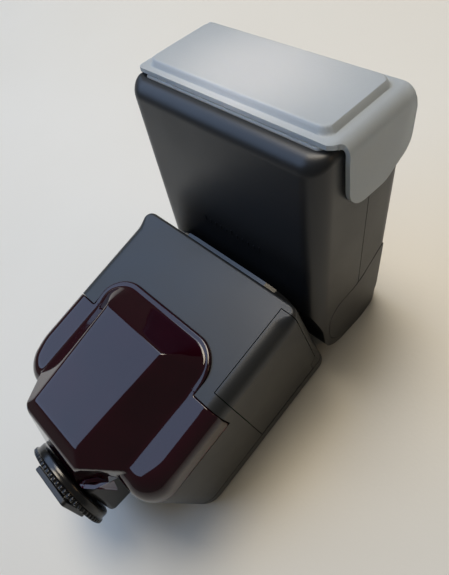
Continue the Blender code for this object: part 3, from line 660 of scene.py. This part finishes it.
def head_half(name, low, high):
    """One half shell: a rolled block, trimmed to the side outline, then cleared for the neck, the lens and
    the lamp."""
    points, normals = outline(square(-HALF, HALF, HEAD_FACE, HEAD_BACK, 6.5), 0.7)
    rim = 2.6 + 2.4 * smooth(-normals[:, 1]) + 0.8 * smooth(normals[:, 1])
    block = loft(name, roll(points, normals, -20.0, HEAD_RIM, rim, steps=12), on_head)
    side = [(-23.6, 18.4, 4.0), (-18.6, 3.0, 9.0), (-CHEEK_R, -CHEEK_R, 12.0), (HEAD_BACK, -CHEEK_R, CHEEK_R),
            (HEAD_BACK, 100.0, 0.0), (-23.6, 100.0, 0.0)]
    carve(block, "INTERSECT", plate("side", side, -60, 60, 0.0, 0.0, beside_head),
          plate("half", square(-60, 60, low, high), -40, 110, 0.0, 0.0, on_head))
    leaf_points, leaf_normals = leaf(0.2)
    tools = [plate("hollow", square(-36.5, 36.5, HEAD_FACE + WALL, HEAD_BACK - WALL, 4.0), 15.5, 76.8, 0.0, 0.0,
                   on_head),
             plate("mouth", square(-34.8, 34.8, -17.6, 14.1, 2.0), 60, 100, 0.0, 0.0, on_head),
             plate("slot", square(-NECK, NECK, -40, 40), -40, 0, 0.0, 0.0, on_head),
             plate("slot_front", square(-NECK, NECK, -40, -8), -41, 17.5, 0.0, 0.0, on_head),
             spin("neck_room", [(15.2, -NECK), (15.2, NECK)], 96, beside_head),
             loft("leaf_bed", roll(leaf_points, leaf_normals, 37.5, 50, 0.0, 0.0), beside_head),
             loft("leaf_bed", roll(leaf_points, leaf_normals, -50, -37.5, 0.0, 0.0), beside_head)]
    return carve(block, "DIFFERENCE", *tools)


complete(head_half("front_half", -60, HEAD_SEAM - GAP / 2), head_abs_painted_shade, "head", "head_plastic",
         "head_front_shell")
complete(head_half("rear_half", HEAD_SEAM + GAP / 2, 60), head_abs_painted_shade, "head", "head_plastic", "head_rear_shell")

for side, word in ((-1, "left"), (1, "right")):
    low, high = sorted((side * 37.7, side * 38.62))
    leaf_points, leaf_normals = leaf(0.0)
    rings = roll(leaf_points, leaf_normals, low, high, 0.35 if side > 0 else 0.1, 0.1 if side > 0 else 0.35)
    cover = loft(f"tilt_cover_{word}", rings, beside_head)
    complete(cover, head_abs_painted_shade, "head", "head_plastic", f"hinge_cover_{word}")

# a row of plain raised tick marks across the head's face, every fifth one longer
TICKS = 11
TICK_PITCH = 2.6
TICK_OUT = 35.0
tick_at = (np.arange(TICKS) - 5) * TICK_PITCH + 1.5
tick_tall = np.where(np.arange(TICKS) % 5 == 0, 2.4, 1.5)
corner = np.array([[x, y, z] for z in (0.0, 1.0) for x, y in ((-1, -1), (1, -1), (1, 1), (-1, 1))])
ticks = np.stack([tick_at[:, None] + 0.22 * corner[:, 0], np.full((TICKS, 8), HEAD_FACE) + 0.16 * corner[:, 1],
                  TICK_OUT + tick_tall[:, None] * corner[:, 2]], axis=-1)
sides = np.array([(0, 3, 2, 1), (4, 5, 6, 7), (0, 1, 5, 4), (1, 2, 6, 5), (2, 3, 7, 6), (3, 0, 4, 7)])
scale_marks = to_object("scale_marks", on_head(ticks.reshape(-1, 3)),
                        (np.arange(TICKS)[:, None, None] * 8 + sides).reshape(-1, 4).tolist())
complete(scale_marks, head_abs_painted_shade, "head", "head_plastic")

# ---------------------------------------------------------------- flash lens
# A clear acrylic panel with fine ribs along it, which spread the flash; its polished edge stands above the rim.

lens_points, lens_normals = outline(square(-34.4, 34.4, -17.2, 13.8, 1.5), 0.7)
panel = loft("ribbed_lens", roll(lens_points, lens_normals, 77.6, 80.75, 0.9, 0.2), on_head)
clear = blank("clear_acrylic", Base_Color=linear("#f2efe6"), IOR=1.49, Roughness=0.08, Transmission_Weight=0.45)
rib_place = add(clear, "ShaderNodeTexCoord", {}).outputs["Object"]
rib_axis = add(clear, "ShaderNodeVectorMath", {0: rib_place, 1: tuple(along / 0.0011)}, operation="DOT_PRODUCT")
rib_wave = add(clear, "ShaderNodeMath", {0: rib_axis.outputs["Value"]}, operation="FRACT")
rib_bump = add(clear, "ShaderNodeBump", {"Height": rib_wave.outputs[0], "Strength": 0.9, "Distance": 0.0003})
drive(clear, Normal=rib_bump.outputs["Normal"])
complete(panel, clear, "head", "clear_lens", "front_lens")

# ---------------------------------------------------------------- frosted cap
# Milky polyethylene, moulded with a fine matt grain: a raised panel over the lens inside a narrow ledge, and a
# tongue that bends down over each side of the head to grip it.

LEDGE = 82.7
PANEL_RISE = 1.95
SHOULDER = 4.4
CAP_HALF = 40.45
CAP_WALL = 1.4


def strap(along_x, f):
    """The bent strap: level out to the shoulder, a quarter turn of radius SHOULDER, then straight down; along_x
    is the distance walked from the middle. The panel's rise is an even step 1.3 mm wide at its outline."""
    start = CAP_HALF - SHOULDER
    walked = np.abs(along_x)
    angle = np.clip((walked - start) / SHOULDER, 0, math.pi / 2)
    down = np.clip(walked - start - SHOULDER * math.pi / 2, 0, None)
    x = np.sign(along_x) * (np.minimum(walked, start) + SHOULDER * np.sin(angle))
    height = LEDGE - SHOULDER * (1 - np.cos(angle)) - down
    inside = 4.0 - past_corner(np.abs(x) - 31.2, np.abs(f + 0.6) - 10.4)
    return x, f, height + PANEL_RISE * smooth(inside / 1.3)


walk = 36.05 + SHOULDER * math.pi / 2 + 21.0
strap_x, strap_f = np.meshgrid(np.arange(-walk, walk + 0.3, 0.6), np.arange(18.0, -18.1, -0.45),
                               indexing="ij")
strap_points = np.stack(strap(strap_x, strap_f), axis=-1)
cap = to_object("frosted_cap", on_head(strap_points.reshape(-1, 3)), quads(*strap_points.shape[:2], False))
thick = cap.modifiers.new("wall", "SOLIDIFY")
thick.thickness = CAP_WALL * MM
thick.offset = -1
with bpy.context.temp_override(object=cap, active_object=cap):
    bpy.ops.object.modifier_apply(modifier=thick.name)
cap_side = [(-13.2, 80.6, 1.2), (-13.0, 76.0, 0.0), (-11.4, 59.0, 9.0), (6.0, 58.0, 9.0), (17.2, 64.0, 6.0),
            (16.9, 76.0, 3.0), (15.6, 80.0, 1.0), (15.5, 95.0, 0.0), (-17.0, 95.0, 0.0), (-17.0, 80.6, 0.4)]
cap_plan = [(-50, -13.2, 0), (-38.0, -13.2, 1.5), (-38.0, -17.6, 4.2), (38.0, -17.6, 4.2), (38.0, -13.2, 1.5),
            (50, -13.2, 0), (50, 30, 0), (-50, 30, 0)]
carve(cap, "INTERSECT", plate("cap_side", cap_side, -60, 60, 0.0, 0.0, beside_head, 0.4),
      plate("cap_plan", cap_plan, 40, 100, 0.0, 0.0, on_head, 0.4))
soft_edge = cap.modifiers.new("soft_edge", "BEVEL")
soft_edge.width = 0.35 * MM
soft_edge.segments = 2
soft_edge.limit_method = "ANGLE"
soft_edge.angle_limit = math.radians(55)


def frosted(name):
    """Low density polyethylene: milky all through, with a fine matt grain on its upper face. Its colour is painted
    whiter over the middle of the lens and greyer towards its edges, as painted light and shade."""
    milk = blank(name, IOR=1.45, Roughness=0.42, Transmission_Weight=0.42, Subsurface_Weight=0.25,
                 Subsurface_Radius=(0.004, 0.004, 0.0042))
    place = add(milk, "ShaderNodeTexCoord", {}).outputs["Object"]
    grain = add(milk, "ShaderNodeTexNoise", {"Vector": place, "Scale": 1600.0, "Detail": 3.0})
    # painted light and shade: white over the middle of the lens, fading to grey-blue with distance from it
    centre = head_place(np.array([[0.0, -1.7, 84.0]]))[0] * MM
    away = add(milk, "ShaderNodeVectorMath", {0: place, 1: tuple(centre)}, operation="DISTANCE")
    painted_light_middle = add(milk, "ShaderNodeMapRange", {"Value": away.outputs[1], 1: 0.004, 2: 0.04, 3: 1.0, 4: 0.0},
                 interpolation_type="SMOOTHSTEP")
    tint = add(milk, "ShaderNodeMix", {"Factor": painted_light_middle.outputs[0], 6: linear("#cdd4d8"), 7: linear("#f6f7f6")},
               data_type="RGBA")
    bump = add(milk, "ShaderNodeBump", {"Height": grain.outputs["Fac"], "Strength": 0.6, "Distance": 0.00006})
    polish = add(milk, "ShaderNodeMapRange", {"Value": grain.outputs["Fac"], 3: 0.34, 4: 0.56})
    drive(milk, Base_Color=tint.outputs[2], Normal=bump.outputs["Normal"], Roughness=polish.outputs[0])
    return milk


complete(cap, frosted("milky_polyethylene"), "cap", "frosted_cap", "diffuser_cap", sharp=50)

# ---------------------------------------------------------------- keys, switch and display
# Seven rubbery grey keys with dished tops, a ribbed slide switch and a smoked window over the display.

key_grey = moulded("key_rubber", "#3b3c3f", "#4a4b4e", 0.55, 0.3, 0.01)
for node in keys:
    spot = middle(node)[:2]
    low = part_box(node)[0][2] / MM
    turned_key = [(0.3, low + 0.42), (1.6, low + 0.3), (2.5, low + 0.06), (2.95, low), (3.3, low + 0.15),
                  (3.5, low + 0.6), (3.5, 3.4)]
    complete(spin(node.replace("_button", "_key"), turned_key, 48, lambda p, at=spot: p + np.array([*at, 0.0])),
             key_grey, node, "key_plastic", node)
knob = plate("switch_knob", square(switch_low[0], switch_high[0], switch_low[1], switch_high[1], 2.0),
             switch_low[2], switch_high[2], 0.2, 0.5)
for k in range(-2, 3):
    groove_x = middle("power_switch")[0] + 0.9 * k
    carve(knob, "DIFFERENCE", plate("groove", square(groove_x - 0.2, groove_x + 0.2, switch_low[1] - 1,
                                                     switch_high[1] + 1), -1.0, switch_low[2] + 0.45, 0.0, 0.0))
complete(knob, key_grey, "switch", "key_plastic", "power_switch")

# ---------------------------------------------------------------- inner works
# What shows with the cap or the battery door open: plated steel, the polished reflector, the glass tube, the
# cells in plain jackets, and the parts behind them. They keep their solids and only take a finish.


def plated(name, shade, roughness, scratch):
    """Rolled or turned metal with a plated finish: fine lines scratch millimetres apart along X."""
    metal = blank(name, Base_Color=linear(shade), Metallic=1.0, Roughness=roughness)
    place = add(metal, "ShaderNodeTexCoord", {}).outputs["Object"]
    stretch = (60, 1000 / scratch, 1000 / scratch)
    place = add(metal, "ShaderNodeMapping", {"Vector": place, "Scale": stretch}).outputs["Vector"]
    lines = add(metal, "ShaderNodeTexNoise", {"Vector": place, "Scale": 1.0, "Detail": 3.0}).outputs["Fac"]
    polish = add(metal, "ShaderNodeMapRange", {"Value": lines, 3: roughness * 0.6, 4: roughness * 1.5})
    bump = add(metal, "ShaderNodeBump", {"Height": lines, "Strength": 0.2, "Distance": 0.00002})
    drive(metal, Roughness=polish.outputs[0], Normal=bump.outputs["Normal"])
    return metal


finishes = {
    "steel": plated("nickel_plated_steel", "#b9b9b6", 0.28, 0.2),
    "polished_metal": plated("bright_aluminium", "#dcdddd", 0.1, 0.3),
    "inner_black_plastic": moulded("inner_black", "#0f0f10", "#161617", 0.5, 0.5),
    "gloss_black_plastic": gloss,
    "flash_glass": moulded("flash_glass", "#cdd3d6", "#e2e6e8", 0.08, 1.5, 0.001, 0.06),
    "display_glass": moulded("smoked_pane", "#23271f", "#2b3027", 0.09, 2.0, 0.001, 0.06),
    "display_cell": moulded("liquid_crystal", "#7d8672", "#8b947f", 0.3, 1.5, 0.001),
    "bush_nylon": moulded("black_acetal", "#111112", "#18181a", 0.35, 0.8, 0.004),
    "board": moulded("solder_resist", "#17502e", "#1d6238", 0.35, 1.2, 0.01),
    "capacitor_sleeve": moulded("shrink_sleeve", "#1a2a44", "#22344f", 0.3, 1.0, 0.006),
    "cell_jacket": moulded("cell_jacket", "#6b4a1c", "#7a5723", 0.25, 1.4, 0.002),
    "winding": moulded("varnished_tape", "#a8812b", "#b89037", 0.3, 0.6, 0.01),
}
shown_by = {entry["node"]: entry["material_slot"] for entry in frame["record"]["subparts"]}
for node, piece in frame["nodes"].items():
    if shown_by[node] in finishes:
        piece.data.materials.clear()
        piece.data.materials.append(finishes[shown_by[node]])

bpy.context.view_layer.update()
